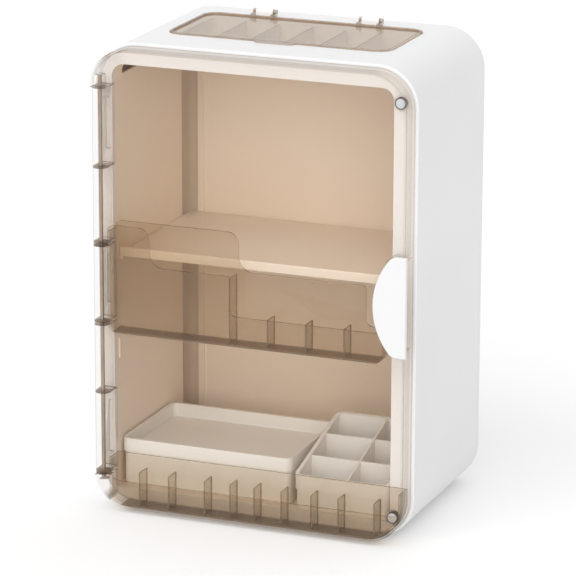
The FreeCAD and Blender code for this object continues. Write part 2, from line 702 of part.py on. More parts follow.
def cut_barrel_room(body):
    """Clear the door's left wall for the barrel, and the panel beside its fixed segments."""
    low = f"{ring_level(0)} - {ring_half(0)}"
    high = f"{ring_level(5)} + {ring_half(5)}"
    through = "door_depth + 2 * overrun"
    cut(body, "front", "door_front - overrun", through,
        rect("door_left - overrun", "barrel_right - knuckle_wall", low, high))
    for index in fixed_segments:
        low = f"{ring_level(index)} - {ring_half(index)}"
        high = f"{ring_level(index + 1)} + {ring_half(index + 1)}"
        cut(body, "front", "door_front - overrun", through,
            rect("door_left - overrun", "barrel_right + hinge_side_gap", low, high))


def add_magnet_seats(body):
    bosses = [circle(across, level, "magnet_radius + magnet_boss_wall") for across, level in magnet_places]
    seats = [circle(across, level, "magnet_radius + magnet_clearance") for across, level in magnet_places]
    add(body, "front", "magnet_front", "door_back - magnet_front", *bosses)
    cut(body, "front", "magnet_front", "magnet_thickness", *seats)


def handle_boss_levels():
    return [f"handle_middle {sign} handle_boss_spacing / 2" for sign in "-+"]


def add_handle_scoop(body):
    """Finger recess in the door's free edge, and the screw bosses for the plate in front of it."""
    inner = "door_depth - panel_thickness"
    edge = "door_right + overrun"
    cut(body, "front", "door_front", inner, rect("scoop_left", edge, "scoop_low", "scoop_high"))
    outer_low, outer_high = "scoop_low - scoop_wall", "scoop_high + scoop_wall"
    back = "scoop_left - scoop_wall"
    add(body, "front", "door_front", "door_depth",
        [("door_right", outer_low, ""), ("door_right", "scoop_low", ""), ("scoop_left", "scoop_low",
                                                                          "scoop_round"),
         ("scoop_left", "scoop_high", "scoop_round"), ("door_right", "scoop_high", ""), ("door_right",
                                                                                         outer_high, ""),
         (back, outer_high, "scoop_round + scoop_wall"), (back, outer_low, "scoop_round + scoop_wall")])
    for level in handle_boss_levels():
        add(body, "front", "door_front", "door_depth", circle("handle_boss_x", level, "handle_boss_radius"))
        cut(body, "front", "door_front", "door_depth + overrun",
            circle("handle_boss_x", level, "screw_radius + screw_clearance"))
        cut(body, "front", "door_back - handle_screw_sink", "handle_screw_sink + overrun",
            circle("handle_boss_x", level, "screw_head_radius + screw_clearance"))


def handle_plate():
    """D-shaped plate: a straight free edge, a wide sweep and two blunt corners."""
    body = new_body("handle_plate")
    sketch = sketch_on(body, "front", "handle_front")
    draw_handle_outline(sketch)
    pad = body.newObject("PartDesign::Pad", "pad")
    pad.Profile = sketch
    pad.Reversed = True
    bind(pad, "Length", "handle_proud")
    round_edges(body, "Y", "handle_front", "handle_edge_round")
    pilots = [circle("handle_boss_x", level,
                     "screw_radius + screw_clearance") for level in handle_boss_levels()]
    cut(body, "front", "door_front - handle_screw_bite", "handle_screw_bite", *pilots)
    return body


def draw_handle_outline(sketch):
    right, middle = value("handle_right"), value("handle_middle")
    half, sweep, corner = value("handle_height / 2"), value("handle_sweep"), value("handle_corner")
    centre = FreeCAD.Vector(value("handle_right - handle_width + handle_sweep"), middle, 0)
    rise = half - corner
    run = ((sweep - corner) ** 2 - rise ** 2) ** 0.5
    corner_x = centre.x - run
    up = FreeCAD.Vector(0, half, 0)
    touch = FreeCAD.Vector(run, rise, 0) * (sweep / (sweep - corner))
    top_touch = FreeCAD.Vector(centre.x - touch.x, middle + touch.y, 0)
    low_touch = FreeCAD.Vector(centre.x - touch.x, middle - touch.y, 0)
    top_flat, low_flat = FreeCAD.Vector(corner_x, middle, 0) + up, FreeCAD.Vector(corner_x, middle, 0) - up
    top_right, low_right = FreeCAD.Vector(right, middle, 0) + up, FreeCAD.Vector(right, middle, 0) - up
    blunt = FreeCAD.Vector(-corner, corner, 0) * 0.5 ** 0.5
    top_bend = FreeCAD.Vector(corner_x, middle + rise, 0) + blunt
    low_bend = FreeCAD.Vector(corner_x, middle - rise, 0) + FreeCAD.Vector(blunt.x, -blunt.y, 0)
    edge = sketch.addGeometry(Part.LineSegment(low_right, top_right))
    top = sketch.addGeometry(Part.LineSegment(top_right, top_flat))
    bend_top = sketch.addGeometry(Part.Arc(top_flat, top_bend, top_touch))
    curve = sketch.addGeometry(Part.Arc(top_touch, centre - FreeCAD.Vector(sweep, 0, 0), low_touch))
    bend_low = sketch.addGeometry(Part.Arc(low_touch, low_bend, low_flat))
    low = sketch.addGeometry(Part.LineSegment(low_flat, low_right))
    chain = [top, bend_top, curve, bend_low, low]
    for before, after in zip(chain, chain[1:]):
        sketch.addConstraint(Sketcher.Constraint("Tangent", before, 2, after, 1))
    sketch.addConstraint(Sketcher.Constraint("Coincident", edge, 2, top, 1))
    sketch.addConstraint(Sketcher.Constraint("Coincident", low, 2, edge, 1))
    sketch.addConstraint(Sketcher.Constraint("Vertical", edge))
    sketch.addConstraint(Sketcher.Constraint("Horizontal", top))
    sketch.addConstraint(Sketcher.Constraint("Horizontal", low))
    fix(sketch, "DistanceX", edge, 1, "handle_right")
    fix(sketch, "DistanceY", top, 1, "handle_middle + handle_height / 2")
    fix(sketch, "DistanceY", low, 1, "handle_middle - handle_height / 2")
    fix(sketch, "DistanceX", curve, 3, "handle_right - handle_width + handle_sweep")
    fix(sketch, "DistanceY", curve, 3, "handle_middle")
    for arc, name in ((bend_top, "handle_corner"), (bend_low, "handle_corner"), (curve, "handle_sweep")):
        bound = sketch.addConstraint(Sketcher.Constraint("Radius", arc, value(name)))
        bind(sketch, f"Constraints[{bound}]", name)


def handle_screws():
    """Screws from the panel's back through the bosses into the plate."""
    screws = []
    head = "door_back - handle_screw_sink"
    for number, level in enumerate(handle_boss_levels()):
        tip = "door_front - handle_screw_bite + screw_clearance"
        screws.append(joined(f"handle_screw_{number}", [
            rod("handle_screw_head", ("handle_boss_x", head, level), "y", "screw_head_radius",
                "screw_head_height"),
            rod("handle_screw_shank", ("handle_boss_x", tip, level), "y", "screw_radius",
                f"{head} - ({tip})")]))
    return group("handle_screws", screws)


def bin_ear(body, index):
    """Arm from a bin's left wall to an eye on the hinge pin."""
    low = f"{ring_level(index)} - bin_ear_thickness / 2"
    add(body, "plan", low, "bin_ear_thickness",
        rect("axis_x", "bin_left + bin_wall", "axis_y - bin_arm_width / 2", "axis_y + bin_arm_width / 2"))
    add(body, "plan", low, "bin_ear_thickness", circle("axis_x", "axis_y", "hinge_radius"))
    cut(body, "plan", f"{low} - overrun", "bin_ear_thickness + 2 * overrun", circle("axis_x", "axis_y",
                                                                                    "bore_radius"))


def stepped_wall(step, end):
    """Wall outline: tall at the left, an S-shaped step to half height, then a step to the low wall."""
    return [("bin_left", "middle_bottom", "middle_corner"), ("middle_right", "middle_bottom",
                                                             "middle_corner"),
            ("middle_right", "middle_low", ""),
            (end, "middle_low", "end_low_round"), (end, "middle_half", "end_top_round"),
            (step, "middle_half", "step_low_round"), (step, "middle_top", "step_top_round"),
            ("bin_left", "middle_top", "middle_left_corner")]


def middle_bin():
    body = new_body("middle_bin")
    inside = "middle_corner - bin_wall"
    trough = [("bin_left", "middle_bottom", "middle_corner"), ("middle_right", "middle_bottom",
                                                               "middle_corner"),
              ("middle_right", "middle_low", ""), ("middle_right - bin_wall", "middle_low", ""),
              ("middle_right - bin_wall", "middle_bottom + bin_wall", inside),
              ("bin_left + bin_wall", "middle_bottom + bin_wall", inside),
              ("bin_left + bin_wall", "middle_top - middle_left_corner", ""),
              ("bin_left", "middle_top - middle_left_corner", "")]
    add(body, "front", "bin_front", "panel_front - bin_front", trough)
    add(body, "front", "bin_front", "bin_wall",
        stepped_wall("bin_left + middle_front_step", "bin_left + middle_front_end"))
    add(body, "front", "panel_front - bin_wall", "bin_wall",
        stepped_wall("bin_left + middle_back_step", "middle_right - middle_back_tail"))
    for index in (2, 3):
        bin_ear(body, index)
    return body


def middle_bin_dividers():
    """A tall cross wall beside the left bay, then even slots."""
    start = "bin_front + bin_wall + bin_divider_gap"
    depth = "panel_front - bin_front - 2 * bin_wall - 2 * bin_divider_gap"
    plates = []
    cross = "bin_left + middle_front_end - bin_divider_thickness"
    for number in range(middle_slots):
        height = "middle_divider_height" if number else "middle_cross_height"
        plates.append(block(f"middle_divider_{number}",
                            (f"{cross} + (middle_right - bin_wall - ({cross})) * {number} / {middle_slots}",
                             start,
                             "middle_bottom + bin_wall"),
                            ("bin_divider_thickness", depth, height)))
    return group("middle_bin_dividers", plates)


def door_inside(label, margin, start, length):
    """Solid of the pan's inside, drawn in by a margin."""
    body = new_body(label)
    add(body, "front", start, length,
        rect(f"door_left + {margin}", f"door_right - ({margin})", f"door_bottom + {margin}",
             f"door_top - ({margin})",
             f"door_corner - ({margin})"))
    return body


def lower_bin():
    margin = "door_wall + bin_clearance"
    body = new_body("lower_bin_walls")
    depth = "panel_front - bin_front"
    add(body, "front", "bin_front", depth, rect("bin_left", "lower_right", "lower_bottom", "lower_top"))
    hollow = door_inside("lower_bin_hollow", f"{margin} + bin_wall", "bin_front + bin_wall",
                         f"{depth} - 2 * bin_wall")
    left_wall = block("lower_bin_left_wall", ("bin_left", "bin_front", "lower_bottom"),
                      ("bin_wall", depth, "lower_bin_height - door_wall - bin_clearance"))
    shaped = doc.addObject("Part::MultiCommon", "lower_bin_shape")
    shaped.Shapes = [joined("lower_bin_box", [bored("lower_bin_trough", body, [hollow]), left_wall]),
                     door_inside("lower_bin_limit", margin, "bin_front", depth)]
    front_gap = new_body("lower_bin_front_gap")
    front_top = "door_bottom + lower_front_wall"
    add(front_gap, "front", "bin_front - overrun", "bin_wall + overrun",
        [("bin_left + bin_wall", front_top, "lower_front_round"), ("lower_right - bin_wall", front_top,
                                                                   "lower_front_round"),
         ("lower_right - bin_wall", "lower_top + overrun", ""), ("bin_left + bin_wall",
                                                                 "lower_top + overrun", "")])
    across, level = magnet_places[0]
    seat = rod("lower_bin_magnet_hole", (across, "panel_front - bin_wall - overrun", level), "y",
               "magnet_radius + magnet_boss_wall + bin_clearance", "bin_wall + 2 * overrun")
    ear = new_body("lower_bin_ear")
    bin_ear(ear, 0)
    return joined("lower_bin", [bored("lower_bin_open", shaped, [front_gap, seat]), ear])


def lower_bin_dividers():
    margin = "door_wall + bin_clearance + bin_wall"
    start = "bin_front + bin_wall + bin_divider_gap"
    depth = "panel_front - bin_front - 2 * bin_wall - 2 * bin_divider_gap"
    plates = []
    for number, share in enumerate(lower_divider_shares):
        plate = block("lower_divider_blank",
                      (f"bin_left + lower_length * {share} - bin_divider_thickness / 2", start,
                       "lower_bottom"),
                      ("bin_divider_thickness", depth, "lower_divider_height - door_wall - bin_clearance"))
        trimmed = doc.addObject("Part::MultiCommon", f"lower_divider_{number}")
        trimmed.Shapes = [plate, door_inside("lower_divider_limit", margin, start, depth)]
        plates.append(trimmed)
    return group("lower_bin_dividers", plates)


def flat_tray():
    """Wide shallow tray on a hollow base, with a proud band round its top."""
    body = new_body("flat_tray")
    band_low = "flat_top - tray_band_height"
    inset = "tray_band_proud"
    add(body, "plan", "loose_bottom", "flat_height",
        rect(f"flat_left + {inset}", f"flat_right - {inset}", f"flat_front + {inset}",
             f"flat_rear - {inset}",
             f"loose_corner - {inset}"))
    add(body, "plan", band_low, "tray_band_height",
        rect("flat_left", "flat_right", "flat_front", "flat_rear", "loose_corner"))
    wall = f"{inset} + tray_wall_thickness"
    inside = rect(f"flat_left + {wall}", f"flat_right - ({wall})", f"flat_front + {wall}",
                  f"flat_rear - ({wall})",
                  f"loose_corner - ({wall})")
    cut(body, "plan", "flat_top - flat_hollow", "flat_hollow + overrun", inside)
    cut(body, "plan", "loose_bottom - overrun", "flat_height - flat_hollow - tray_wall_thickness + overrun",
        inside)
    return body


def divided_tray():
    """Narrow tray whose sides rise towards the back."""
    body = new_body("divided_tray")
    inset = "tray_band_proud"
    add(body, "plan", "loose_bottom", "divided_rear_height",
        rect(f"divided_left + {inset}", f"divided_right - {inset}", f"divided_front + {inset}",
             f"divided_rear - {inset}", f"loose_corner - {inset}"))
    add(body, "plan", "divided_top - tray_band_height",
        "divided_rear_height - divided_front_height + tray_band_height",
        rect("divided_left", "divided_right", "divided_front", "divided_rear", "loose_corner"))
    high = "divided_rear_top + overrun"
    cut(body, "side", "divided_left - overrun", "divided_width + 2 * overrun",
        [("divided_front - overrun", "divided_top", ""), ("divided_rear + overrun", "divided_rear_top", ""),
         ("divided_rear + overrun", high, ""), ("divided_front - overrun", high, "")])
    wall = f"{inset} + tray_wall_thickness"
    cut(body, "plan", "divided_floor", "divided_rear_height + overrun",
        rect(f"divided_left + {wall}", f"divided_right - ({wall})", f"divided_front + {wall}",
             f"divided_rear - ({wall})",
             f"loose_corner - ({wall})"))
    return body


def tray_partitions():
    """One lengthwise wall and cross plates that follow the divided tray's sloping top."""
    wall = "(tray_band_proud + tray_wall_thickness + partition_gap)"
    front, rear = f"divided_front + {wall}", f"divided_rear - {wall}"
    spine = new_body("partition_spine")
    add(spine, "side", "divided_middle - partition_thickness / 2", "partition_thickness",
        [(front, "divided_floor", ""), (rear, "divided_floor", ""),
         (rear, "divided_rear_top - partition_drop", ""),
         (front, "divided_top - partition_drop", "")])
    half = "partition_thickness / 2 + partition_gap"
    columns = ((f"divided_left + {wall}", f"divided_middle - ({half})"),
               (f"divided_middle + {half}", f"divided_right - {wall}"))
    plates = [spine]
    for near, far in columns:
        for number in range(1, cross_rows):
            middle = f"divided_front + divided_depth * {number} / {cross_rows}"
            top = f"divided_top + divided_rise * {number} / {cross_rows} - partition_drop"
            plates.append(block("partition_cross", (near, f"{middle} - partition_thickness / 2",
                                                    "divided_floor"),
                                (f"{far} - ({near})", "partition_thickness", f"{top} - divided_floor")))
    return group("tray_partitions", plates)


nodes = [outer_shell(), inner_liner(), back_lining(), shelf(), top_tray(), top_tray_dividers(),
         lid_hinge_blocks(), lid_hinge_pins(), hinge_pin(), strike_discs(), foot_pads(), liner_screws()]
nodes += [hinge_bracket(index, label) for index, label in fixed_segments.items()]
nodes += [door_pan(), middle_bin(), middle_bin_dividers(), lower_bin(), lower_bin_dividers(),
          handle_plate(), handle_screws(), door_magnets(), top_lid()]
nodes += [flat_tray(), divided_tray(), tray_partitions()]
doc.recompute()


def check_document():
    for thing in doc.Objects:
        if "Invalid" in thing.State or "Error" in thing.State:
            raise RuntimeError(f"{thing.Label} failed: {thing.State}")
        if thing.TypeId == "PartDesign::Pocket" and thing.Shape.Volume >= thing.BaseFeature.Shape.Volume:
            raise RuntimeError(f"{thing.Label} cuts nothing")
    for node in nodes:
        if node.Shape.isNull() or not node.Shape.isValid():
            raise RuntimeError(f"{node.Label} has no valid shape")


check_document()
os.makedirs("parts", exist_ok=True)
for node in nodes:
    node.Shape.exportStep(f"parts/{node.Label}.step")
    print(node.Label, len(node.Shape.Solids), "solids", round(node.Shape.Volume / 1000, 2), "cm3")
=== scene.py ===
import bpy, math
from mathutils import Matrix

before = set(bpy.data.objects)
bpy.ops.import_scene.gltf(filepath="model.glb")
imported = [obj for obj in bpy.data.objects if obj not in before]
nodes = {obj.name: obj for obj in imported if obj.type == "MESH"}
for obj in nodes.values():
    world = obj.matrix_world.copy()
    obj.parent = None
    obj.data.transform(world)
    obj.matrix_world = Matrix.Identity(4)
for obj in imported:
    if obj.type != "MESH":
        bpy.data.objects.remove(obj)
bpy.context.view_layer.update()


def boxOf(name):  # lowest and highest corner of a node
    sides = list(zip(*nodes[name].bound_box))
    return [min(side) for side in sides], [max(side) for side in sides]


def newTree(name, inputs, outputs):  # empty shader group with named sockets
    tree = bpy.data.node_groups.new(name, "ShaderNodeTree")
    for label, kind, value in inputs:
        tree.interface.new_socket(label, in_out="INPUT", socket_type=kind).default_value = value
    for label, kind in outputs:
        tree.interface.new_socket(label, in_out="OUTPUT", socket_type=kind)
    return tree, tree.nodes.new("NodeGroupInput"), tree.nodes.new("NodeGroupOutput")


def feed(tree, value, socket):  # link another node's socket, or set a plain value
    if hasattr(value, "is_linked"):
        tree.links.new(value, socket)
    else:
        socket.default_value = value


def addMath(tree, operation, *values):
    node = tree.nodes.new("ShaderNodeMath")
    node.operation = operation
    for value, socket in zip(values, node.inputs):
        feed(tree, value, socket)
    return node.outputs[0]


def addVector(tree, operation, first, second):
    node = tree.nodes.new("ShaderNodeVectorMath")
    node.operation = operation
    feed(tree, first, node.inputs[0])
    feed(tree, second, node.inputs[1])
    return node


def addRange(tree, value, low, high):  # 0 at low, 1 at high
    node = tree.nodes.new("ShaderNodeMapRange")
    node.interpolation_type = "SMOOTHSTEP"
    for number, label in ((value, "Value"), (low, "From Min"), (high, "From Max")):
        feed(tree, number, node.inputs[label])
    return node.outputs["Result"]


def mixColour(tree, factor, first, second):
    mix = tree.nodes.new("ShaderNodeMix")
    mix.data_type = "RGBA"
    tree.links.new(factor, mix.inputs[0])
    tree.links.new(first, mix.inputs[6])
    tree.links.new(second, mix.inputs[7])
    return mix.outputs[2]


cloudShape = {"detail": 2.0, "low": 0.35, "high": 0.65}


def buildCloudyTone(shape):  # two close tones in slow clouds, as moulded plastic has
    tree, get, put = newTree("cloudyTone", [
        ("Tone", "NodeSocketColor", (1, 1, 1, 1)), ("Shade", "NodeSocketColor", (0.9, 0.9, 0.9, 1)),
        ("Scale", "NodeSocketFloat", 6.0)], [("Color", "NodeSocketColor")])
    place = tree.nodes.new("ShaderNodeTexCoord")
    noise = tree.nodes.new("ShaderNodeTexNoise")
    noise.inputs["Detail"].default_value = shape["detail"]
    tree.links.new(place.outputs["Object"], noise.inputs["Vector"])
    tree.links.new(get.outputs["Scale"], noise.inputs["Scale"])
    cloud = addRange(tree, noise.outputs["Fac"], shape["low"], shape["high"])
    tone = mixColour(tree, cloud, get.outputs["Tone"], get.outputs["Shade"])
    tree.links.new(tone, put.inputs["Color"])
    return tree


skinShape = {"distance": 0.0004}


def buildFineSkin(shape):  # faint surface texture of a moulding
    tree, get, put = newTree("fineSkin", [
        ("Scale", "NodeSocketFloat", 900.0), ("Depth", "NodeSocketFloat", 0.02)],
        [("Normal", "NodeSocketVector")])
    place = tree.nodes.new("ShaderNodeTexCoord")
    noise = tree.nodes.new("ShaderNodeTexNoise")
    bump = tree.nodes.new("ShaderNodeBump")
    bump.inputs["Distance"].default_value = shape["distance"]
    tree.links.new(place.outputs["Object"], noise.inputs["Vector"])
    tree.links.new(get.outputs["Scale"], noise.inputs["Scale"])
    tree.links.new(get.outputs["Depth"], bump.inputs["Strength"])
    tree.links.new(noise.outputs["Fac"], bump.inputs["Height"])
    tree.links.new(bump.outputs["Normal"], put.inputs["Normal"])
    return tree


def buildDepthTone():  # one tone at the front frame, another deep inside the case
    tree, get, put = newTree("depthTone", [
        ("Front", "NodeSocketColor", (1, 1, 1, 1)), ("Inside", "NodeSocketColor", (0.7, 0.6, 0.5, 1)),
        ("Start", "NodeSocketFloat", -0.08), ("End", "NodeSocketFloat", -0.06)],
        [("Color", "NodeSocketColor")])
    place = tree.nodes.new("ShaderNodeTexCoord")
    split = tree.nodes.new("ShaderNodeSeparateXYZ")
    tree.links.new(place.outputs["Object"], split.inputs["Vector"])
    ramp = addRange(tree, split.outputs["Y"], get.outputs["Start"], get.outputs["End"])
    tone = mixColour(tree, ramp, get.outputs["Front"], get.outputs["Inside"])
    tree.links.new(tone, put.inputs["Color"])
    return tree


# painted shade: the faces that look to the case's middle get a darker beige, standing in for the shade of
# its hollow
def buildHollowShadeTone():  # one tone on a case's outer faces, another on those that look to its middle
    tree, get, put = newTree("insideTone", [
        ("Outside", "NodeSocketColor", (1, 1, 1, 1)), ("Inside", "NodeSocketColor", (0.7, 0.6, 0.5, 1)),
        ("Middle", "NodeSocketVector", (0, 0, 0.24))], [("Color", "NodeSocketColor")])
    place = tree.nodes.new("ShaderNodeTexCoord")
    arm = addVector(tree, "SUBTRACT", place.outputs["Object"], get.outputs["Middle"])
    turn = addVector(tree, "DOT_PRODUCT", place.outputs["Normal"], arm.outputs["Vector"])
    within = addMath(tree, "LESS_THAN", turn.outputs["Value"], 0.0)
    tone = mixColour(tree, within, get.outputs["Outside"], get.outputs["Inside"])
    tree.links.new(tone, put.inputs["Color"])
    return tree


# painted shade: a dark ring at the edge of each magnet disc stands in for the shade at its rim
def buildDiscRimShade():  # darker ring round two discs that face the front
    tree, get, put = newTree("discRimShade", [
        ("Face", "NodeSocketColor", (0.7, 0.7, 0.7, 1)), ("RimShade", "NodeSocketColor", (0.1, 0.1, 0.1, 1)),
        ("Upper", "NodeSocketVector", (0, 0, 0)), ("Lower", "NodeSocketVector", (0, 0, 0)),
        ("Radius", "NodeSocketFloat", 0.005)], [("Color", "NodeSocketColor")])
    place = tree.nodes.new("ShaderNodeTexCoord")
    flat = addVector(tree, "MULTIPLY", place.outputs["Object"], (1, 0, 1))
    reach = []
    for label in ("Upper", "Lower"):
        gap = addVector(tree, "DISTANCE", flat.outputs["Vector"], get.outputs[label])
        reach.append(gap.outputs["Value"])
    outer = addMath(tree, "GREATER_THAN", addMath(tree, "MINIMUM", *reach), get.outputs["Radius"])
    tone = mixColour(tree, outer, get.outputs["Face"], get.outputs["RimShade"])
    tree.links.new(tone, put.inputs["Color"])
    return tree


bendShape = {"rise": (0.15, 0.4), "fall": (0.97, 0.8)}  # how far a rounded rim is turned from the front


def buildSheetEdge(shape):  # how solid a clear sheet looks: thin on broad faces, dense on cut edges
    tree, get, put = newTree("sheetEdge", [
        ("Face", "NodeSocketFloat", 0.05), ("Edge", "NodeSocketFloat", 0.8),
        ("Axis", "NodeSocketVector", (0, 0, 1)), ("Low", "NodeSocketFloat", 0.6),
        ("High", "NodeSocketFloat", 0.9), ("Limit", "NodeSocketFloat", 1.0),
        ("Over", "NodeSocketFloat", -1.0), ("Under", "NodeSocketFloat", -1.0),
        ("Round", "NodeSocketFloat", 0.0)], [("Alpha", "NodeSocketFloat")])
    place = tree.nodes.new("ShaderNodeTexCoord")
    spot = tree.nodes.new("ShaderNodeSeparateXYZ")
    tree.links.new(place.outputs["Object"], spot.inputs["Vector"])
    turn = addVector(tree, "DOT_PRODUCT", place.outputs["Normal"], get.outputs["Axis"])
    along = addMath(tree, "ABSOLUTE", turn.outputs["Value"])
    level = addRange(tree, along, get.outputs["Low"], get.outputs["High"])
    left = addMath(tree, "LESS_THAN", spot.outputs["X"], get.outputs["Limit"])
    level = addMath(tree, "MULTIPLY", level, left)
    above = addMath(tree, "GREATER_THAN", spot.outputs["Z"], get.outputs["Over"])
    level = addMath(tree, "MULTIPLY", level, above)
    below = addMath(tree, "LESS_THAN", spot.outputs["Z"], get.outputs["Under"])
    level = addMath(tree, "MAXIMUM", level, below)
    # rounded rims, away from the barrel
    side = tree.nodes.new("ShaderNodeSeparateXYZ")
    tree.links.new(place.outputs["Normal"], side.inputs["Vector"])
    ahead = addMath(tree, "ABSOLUTE", side.outputs["Y"])
    rise = addRange(tree, ahead, *shape["rise"])
    fall = addRange(tree, ahead, *shape["fall"])
    bend = addMath(tree, "MULTIPLY", rise, fall)
    bend = addMath(tree, "MULTIPLY", bend, addMath(tree, "SUBTRACT", 1.0, left))
    level = addMath(tree, "MAXIMUM", level, addMath(tree, "MULTIPLY", bend, get.outputs["Round"]))
    gain = addMath(tree, "SUBTRACT", get.outputs["Edge"], get.outputs["Face"])
    dense = addMath(tree, "MULTIPLY_ADD", level, gain, get.outputs["Face"])
    tree.links.new(dense, put.inputs["Alpha"])
    return tree


cloudyTone, fineSkin, depthTone = buildCloudyTone(cloudShape), buildFineSkin(skinShape), buildDepthTone()
insideTone, discRimShade, sheetEdge = buildHollowShadeTone(), buildDiscRimShade(), buildSheetEdge(bendShape)
print("shared effects ready")


def startMaterial(name):
    material = bpy.data.materials.new(name)
    material.use_nodes = True
    tree = material.node_tree
    tree.nodes.clear()
    return material, tree, tree.nodes.new("ShaderNodeOutputMaterial")


def useGroup(tree, group, values):
    node = tree.nodes.new("ShaderNodeGroup")
    node.node_tree = group
    for label, value in values.items():
        feed(tree, value, node.inputs[label])
    return node.outputs[0]


def useClouds(tree, tone, shade, scale):
    return useGroup(tree, cloudyTone, {"Tone": tone, "Shade": shade, "Scale": scale})


def mixShaders(tree, factor, first, second):
    mix = tree.nodes.new("ShaderNodeMixShader")
    feed(tree, factor, mix.inputs[0])
    tree.links.new(first.outputs[0], mix.inputs[1])
    tree.links.new(second.outputs[0], mix.inputs[2])
    return mix


def solidFinish(name, look):  # opaque plastic, metal or rubber
    material, tree, out = startMaterial(name)
    body = tree.nodes.new("ShaderNodeBsdfPrincipled")
    body.inputs["Roughness"].default_value = look["rough"]
    body.inputs["Metallic"].default_value = look.get("metal", 0.0)
    if "coat" in look:
        body.inputs["Coat Weight"].default_value = look["coat"]
        body.inputs["Coat Roughness"].default_value = look["coatRough"]
    tone = useClouds(tree, look["tone"], look["shade"], look["scale"])
    if "inside" in look:
        deep = useClouds(tree, look["inside"], look["insideShade"], look["scale"])
        if "topEdge" in look:
            upper = useGroup(tree, sheetEdge, look["topEdge"])
            tone = mixColour(tree, upper, tone, deep)
        elif "middle" in look:
            tone = useGroup(tree, insideTone, {"Outside": tone, "Inside": deep, "Middle": look["middle"]})
        else:
            tone = useGroup(tree, depthTone, {"Front": tone, "Inside": deep, "Start": look["start"],
                                              "End": look["end"]})
    # painted shade ring round the magnet discs
    if "ring" in look:
        tone = useGroup(tree, discRimShade, {"Face": tone, "RimShade": look["ring"], "Upper": look["upper"],
                                        "Lower": look["lower"], "Radius": look["radius"]})
    tree.links.new(tone, body.inputs["Base Color"])
    skin = useGroup(tree, fineSkin, {"Scale": look["skin"], "Depth": look["depth"]})
    tree.links.new(skin, body.inputs["Normal"])
    tree.links.new(body.outputs[0], out.inputs["Surface"])
    return material


def clearFinish(name, look):  # tinted clear sheet: a film of colour, denser cut edges and a clean gloss
    material, tree, out = startMaterial(name)
    film = tree.nodes.new("ShaderNodeBsdfTransparent")
    film.inputs["Color"].default_value = look["film"]
    edge = tree.nodes.new("ShaderNodeBsdfPrincipled")
    edge.inputs["Roughness"].default_value = look["edgeRough"]
    tone = useClouds(tree, look["tone"], look["shade"], look["scale"])
    tree.links.new(tone, edge.inputs["Base Color"])
    tree.links.new(useGroup(tree, sheetEdge, look["edge"]), edge.inputs["Alpha"])
    sheet = mixShaders(tree, look["body"], film, edge)
    rim = tree.nodes.new("ShaderNodeBsdfTransparent")
    rim.inputs["Color"].default_value = look["rim"]
    turned = tree.nodes.new("ShaderNodeLayerWeight")
    outline = addMath(tree, "POWER", turned.outputs["Facing"], look["rimPower"])
    sheet = mixShaders(tree, outline, sheet, rim)
    gloss = tree.nodes.new("ShaderNodeBsdfGlossy")
    gloss.inputs["Roughness"].default_value = look["rough"]
    shine = tree.nodes.new("ShaderNodeFresnel")
    shine.inputs["IOR"].default_value = look["ior"]
    sides = tree.nodes.new("ShaderNodeNewGeometry")
    outer = addMath(tree, "SUBTRACT", 1.0, sides.outputs["Backfacing"])
    whole = mixShaders(tree, addMath(tree, "MULTIPLY", shine.outputs[0], outer), sheet, gloss)
    tree.links.new(whole.outputs[0], out.inputs["Surface"])
    return material


def dress(material, *names):
    for name in names:
        mesh = nodes[name].data
        mesh.materials.clear()
        mesh.materials.append(material)


# white case, darker beige within: painted shade of its hollow
shellLook = {"tone": (0.89, 0.89, 0.895, 1), "shade": (0.87, 0.87, 0.875, 1),
             "inside": (0.72, 0.57, 0.42, 1), "insideShade": (0.69, 0.54, 0.39, 1), "scale": 5.0,
             "rough": 0.45, "skin": 1200.0, "depth": 0.02}
shellMiddle = tuple((low + high) / 2 for low, high in zip(*boxOf("outer_shell")))
dress(solidFinish("caseWhite", dict(shellLook, middle=shellMiddle)), "outer_shell")
blockLook = {"tone": (0.89, 0.89, 0.895, 1), "shade": (0.87, 0.87, 0.875, 1), "scale": 12.0,
             "rough": 0.45, "skin": 1200.0, "depth": 0.02}
dress(solidFinish("blockWhite", blockLook), "lid_hinge_blocks")
plateLook = {"tone": (0.82, 0.82, 0.82, 1), "shade": (0.8, 0.8, 0.8, 1), "scale": 9.0, "rough": 0.32,
             "coat": 0.2, "coatRough": 0.12, "skin": 1500.0, "depth": 0.015}
dress(solidFinish("handleWhite", plateLook), "handle_plate")

# lining: pale at the frame, warm beige inside
linerLook = {"tone": (0.87, 0.83, 0.795, 1), "shade": (0.85, 0.81, 0.775, 1),
             "inside": (0.93, 0.8, 0.665, 1), "insideShade": (0.905, 0.77, 0.63, 1), "scale": 5.0,
             "rough": 0.5, "skin": 900.0, "depth": 0.01, "paleDepth": 0.0017, "warmDepth": 0.0137}
linerFront = boxOf("inner_liner")[0][1]
linerBlend = {"start": linerFront + linerLook["paleDepth"], "end": linerFront + linerLook["warmDepth"]}
dress(solidFinish("linerCream", dict(linerLook, **linerBlend)), "inner_liner", "shelf")
boardLook = {"tone": (0.91, 0.775, 0.635, 1), "shade": (0.875, 0.735, 0.59, 1), "scale": 4.0,
             "rough": 0.5, "skin": 900.0, "depth": 0.01}
dress(solidFinish("boardBeige", boardLook), "back_lining")

# loose trays and the tray in the top
trayLook = {"tone": (0.9, 0.86, 0.81, 1), "shade": (0.88, 0.84, 0.78, 1), "scale": 8.0, "rough": 0.45,
            "skin": 1000.0, "depth": 0.015}
dress(solidFinish("trayCream", trayLook), "flat_tray", "divided_tray", "tray_partitions", "top_tray")
combLook = dict(trayLook, inside=(0.34, 0.27, 0.2, 1), insideShade=(0.31, 0.245, 0.18, 1),
                topEdge={"Face": 0.0, "Edge": 1.0, "Low": 0.5, "High": 0.9})
dress(solidFinish("combCream", combLook), "top_tray_dividers")

